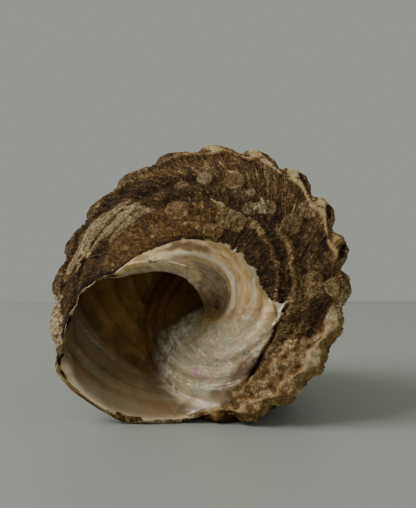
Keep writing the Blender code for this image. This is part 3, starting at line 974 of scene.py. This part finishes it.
def horny_skin():
    """Worn horny skin over lime: matt, fibrous along the growth lines, and chalky where it is rubbed bare.

    The shade and greyness laid on the shell choose its colour, and noises of four sizes break them up.
    """
    material, tree, principled = new_material("worn_periostracum_over_lime")
    add = partial(add_node, tree)
    laid, place, grown = read_shell(tree, ("shade", "grey", "stringy", "quiet"))

    # Fibres about 0.5 mm apart, which run along the growth lines.
    strands = add("Mapping", {"Vector": grown, "Scale": (2.2, 1.1, 1.0)})
    fibres = add("TexNoise", {
        "Vector": strands, "Scale": 1.0, "Detail": 5.0, "Roughness": 0.75, "Distortion": 0.6,
    })
    # Specks and grit of 0.4 mm, and blotches of 5 mm.
    grit = add("TexNoise", {
        "Vector": place, "Scale": 1300.0, "Detail": 4.0, "Roughness": 0.8,
    })
    blotches = add("TexNoise", {
        "Vector": place, "Scale": 230.0, "Detail": 4.0, "Roughness": 0.6,
    })
    # Where the skin has peeled, in crisp flecks of 1 to 3 mm, paler lime shows a little lower.
    peeling = add("TexNoise", {
        "Vector": place, "Scale": 420.0, "Detail": 6.0, "Roughness": 0.75, "Distortion": 1.0,
    })
    sunk = add("MapRange", {
        "Value": peeling, "From Min": 0.53, "From Max": 0.57, "To Max": -0.24,
    })

    off_middle = add("MapRange", {"Value": fibres, "To Min": -0.47, "To Max": 0.53})
    change = add("Math", {0: off_middle, 1: laid["stringy"]}, operation="MULTIPLY")
    for source, low, high, darker, paler in (
        (grit, 0.0, 1.0, -0.85, 0.85),
        (blotches, 0.0, 1.0, -0.225, 0.225),
        (peeling, 0.53, 0.57, -0.0595, 0.1105),
    ):
        step = add("MapRange", {
            "Value": source, "From Min": low, "From Max": high, "To Min": darker, "To Max": paler,
        })
        change = add("Math", {0: change, 1: step}, operation="ADD")
    tone = add("Math", {0: change, 1: laid["quiet"], 2: laid["shade"]},
                    operation="MULTIPLY_ADD")
    brown = add("ValToRGB", {"Fac": tone}, stops=(
        (0.0, "#140b05"), (0.18, "#2b1b0d"), (0.36, "#4b3319"), (0.52, "#6e4e28"), (0.66, "#8a683c"),
        (0.8, "#b0905a"), (0.92, "#d3bd8d"), (1.0, "#e6d5ae"),
    ))
    grey = add("ValToRGB", {"Fac": tone}, stops=(
        (0.0, "#1b130b"), (0.3, "#46351f"), (0.6, "#7f6a4a"), (0.85, "#b3a07c"), (1.0, "#d6c8a8"),
    ))
    base = add("Mix", {0: laid["grey"], 6: brown, 7: grey}, 2, data_type="RGBA")

    rough = add("MapRange", {"Value": fibres, "To Min": 0.62, "To Max": 0.88})
    rise = fibres
    for part in (grit, sunk):
        rise = add("Math", {0: rise, 1: part}, operation="ADD")
    bump = add("Bump", {"Height": rise, "Strength": 1.0, "Distance": 0.00065})
    set_inputs(tree, principled, {
        "Base Color": base, "Roughness": rough, "Normal": bump, "Specular IOR Level": 0.2,
    })
    return material


def mother_of_pearl():
    """Porcelain glaze that passes into mother-of-pearl: glossy, and hammered where the pearl is open.

    Ivory glaze has bands along the shell's growth, and the pearl has soft clouds of pink and green. Painted
    highlights lie on its creases, and painted shade darkens the mouth.
    """
    material, tree, principled = new_material("glazed_mother_of_pearl")
    add = partial(add_node, tree)
    laid, place, grown = read_shell(
        tree, ("silver", "green", "wrinkled", "pink", "mauve_and_shade", "threads", "white", "stain", "depth_shade"))

    clouds = add("TexNoise", {
        "Vector": place, "Scale": 75.0, "Detail": 3.0, "Distortion": 1.2,
    })
    fine = add("TexNoise", {"Vector": place, "Scale": 900.0, "Detail": 3.0})
    banded = add("Mapping", {"Vector": grown, "Scale": (0.04, 2.4, 1.0)})
    bands = add("TexNoise", {
        "Vector": banded, "Scale": 1.0, "Detail": 4.0, "Distortion": 0.8,
    })
    # Fine creases about 2 mm apart: 1 on a crease and 0 beside it. Painted highlights lie along them.
    creasing = add("Mapping", {"Vector": grown, "Scale": (0.11, 1.5, 1.0)})
    creases = add("TexNoise", {
        "Vector": creasing, "Scale": 1.0, "Detail": 4.0, "Roughness": 0.6, "Distortion": 1.2,
    })
    side = add("Math", {0: creases, 1: 0.5}, operation="SUBTRACT")
    off_crease = add("Math", {0: side}, operation="ABSOLUTE")
    creased = add("MapRange", {
        "Value": off_crease, "From Max": 0.035, "To Min": 1.0, "To Max": 0.0,
    })
    painted_glints = add("Math", {0: creased, 1: laid["wrinkled"]}, operation="MULTIPLY")

    ivory = add("ValToRGB", {"Fac": bands}, stops=(
        (0.3, "#a5803f"), (0.45, "#c8a46a"), (0.6, "#dcbf8c"), (0.75, "#e8d6b0"),
    ))
    pearl = add("ValToRGB", {"Fac": clouds}, stops=(
        (0.25, "#947f5c"), (0.4, "#b7a380"), (0.5, "#d2c29f"), (0.57, "#d6bda6"), (0.64, "#c9c8aa"),
        (0.8, "#e5dabc"),
    ))
    # Mauve grey: partly the glaze's own tint, partly painted shade in the trough and on the far wall.
    mauve_and_shade = add("ValToRGB", {"Fac": bands}, stops=((0.35, "#93785e"), (0.65, "#bca288")))
    # The mouth's brown is clouded: partly the nacre's own bronze, partly painted shade. It hides the pearl
    # fully from 0.59 on.
    clouding = add("MapRange", {"Value": clouds, "To Min": -0.45, "To Max": 0.45})
    clouded = add("Math", {0: laid["depth_shade"], 1: clouding}, operation="ADD")
    cavity = add("ValToRGB", {"Fac": clouded}, stops=(
        (0.28, "#54391f"), (0.4, "#655a46"), (0.48, "#684830"), (0.6, "#6e5538"), (0.8, "#92693a"),
        (1.0, "#b08a50"),
    ))
    hidden = add("MapRange", {"Value": laid["depth_shade"], "From Max": 1 / 1.7})
    base = ivory
    for share, tint in (
        (laid["silver"], pearl),
        (laid["green"], colour("#a9b39a")),
        # Pale painted highlights along the creases of the wrinkled pearl.
        (painted_glints, colour("#f4eddc")),
        (laid["pink"], colour("#d8a3a2")),
        (laid["mauve_and_shade"], mauve_and_shade),
        (laid["threads"], colour("#efe7d4")),
        (laid["white"], colour("#e2d8c4")),
        (laid["stain"], colour("#62421b")),
        # Painted shade of the mouth, with the nacre's own bronze.
        (hidden, cavity),
    ):
        base = add("Mix", {0: share, 6: base, 7: tint}, 2, data_type="RGBA")

    rough = add("MapRange", {"Value": clouds, "To Min": 0.1, "To Max": 0.3})
    hammer = add("Math", {0: creased, 1: 0.35, 2: fine}, operation="MULTIPLY_ADD")
    force = add("MapRange", {
        "Value": laid["wrinkled"], "From Max": 0.75, "To Min": 0.15, "To Max": 1.45,
    })
    dents = add("Math", {0: hammer, 1: force}, operation="MULTIPLY")
    rise = add("Math", {0: bands, 1: 0.5, 2: dents}, operation="MULTIPLY_ADD")
    bump = add("Bump", {"Height": rise, "Strength": 0.8, "Distance": 0.0007})
    set_inputs(tree, principled, {"Base Color": base, "Roughness": rough, "Normal": bump, "IOR": 1.6})
    return material


def make_camera(pose):
    """A camera at the photograph's height and distance, which sees the middle of the base where it does."""
    pitch = math.radians(CAMERA_PITCH)
    right = Vector((1, 0, 0))
    up = Vector((0, math.sin(pitch), math.cos(pitch)))
    back = Vector((0, -math.cos(pitch), math.sin(pitch)))
    base = pose @ Vector((0, 0, APEX_TO_KEEL * MM))
    aside = (BASE_PIXEL[0] - PHOTO[0] / 2) * CAMERA_DISTANCE / FOCAL_PIXELS
    below = (BASE_PIXEL[1] - PHOTO[1] / 2) * CAMERA_DISTANCE / FOCAL_PIXELS
    place = base - right * aside + up * below + back * CAMERA_DISTANCE
    data = bpy.data.cameras.new("camera")
    data.sensor_width = SENSOR_WIDTH
    data.lens = FOCAL_PIXELS * SENSOR_WIDTH / PHOTO[1]
    data.clip_start = NEAREST_SEEN
    camera = bpy.data.objects.new("camera", data)
    turn = Matrix((right, up, back)).transposed().to_4x4()
    camera.matrix_world = Matrix.Translation(place) @ turn
    bpy.context.scene.collection.objects.link(camera)
    bpy.context.scene.camera = camera


def make_table():
    bpy.ops.mesh.primitive_plane_add(size=TABLE_SIZE, location=TABLE_MIDDLE)
    table = bpy.context.view_layer.objects.active
    table.name = "floor"
    table.data.materials.append(plain_material("pale_table", "#9b9f98", 0.45))


def make_light():
    """Soft daylight all round, a window at the left, and a weak fill at the right."""
    world = bpy.data.worlds.new("studio")
    bpy.context.scene.world = world
    world.use_nodes = True
    sky = world.node_tree.nodes["Background"]
    set_inputs(world.node_tree, sky, {"Color": colour("#bfc5b9"), "Strength": DAYLIGHT})
    for name, place, energy, size in LAMPS:
        light = bpy.data.lights.new(name, "AREA")
        light.energy = energy
        light.size = size
        lamp = bpy.data.objects.new(name, light)
        lamp.location = place
        lamp.rotation_euler = (LIT_PLACE - lamp.location).to_track_quat("-Z", "Y").to_euler()
        bpy.context.scene.collection.objects.link(lamp)


def main():
    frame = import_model()
    cad_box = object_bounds()
    pose = lying_pose()
    make_camera(pose)
    make_table()
    make_light()
    shell, pearly = dressed_shell(frame["nodes"]["shell"], pose, cad_box)
    pearl = split_off(shell, pearly, "shell_pearl")
    for piece, finish in ((shell, horny_skin()), (pearl, mother_of_pearl())):
        piece.data.materials.clear()
        piece.data.materials.append(finish)
        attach(piece, "root")
        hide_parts("shell")


main()
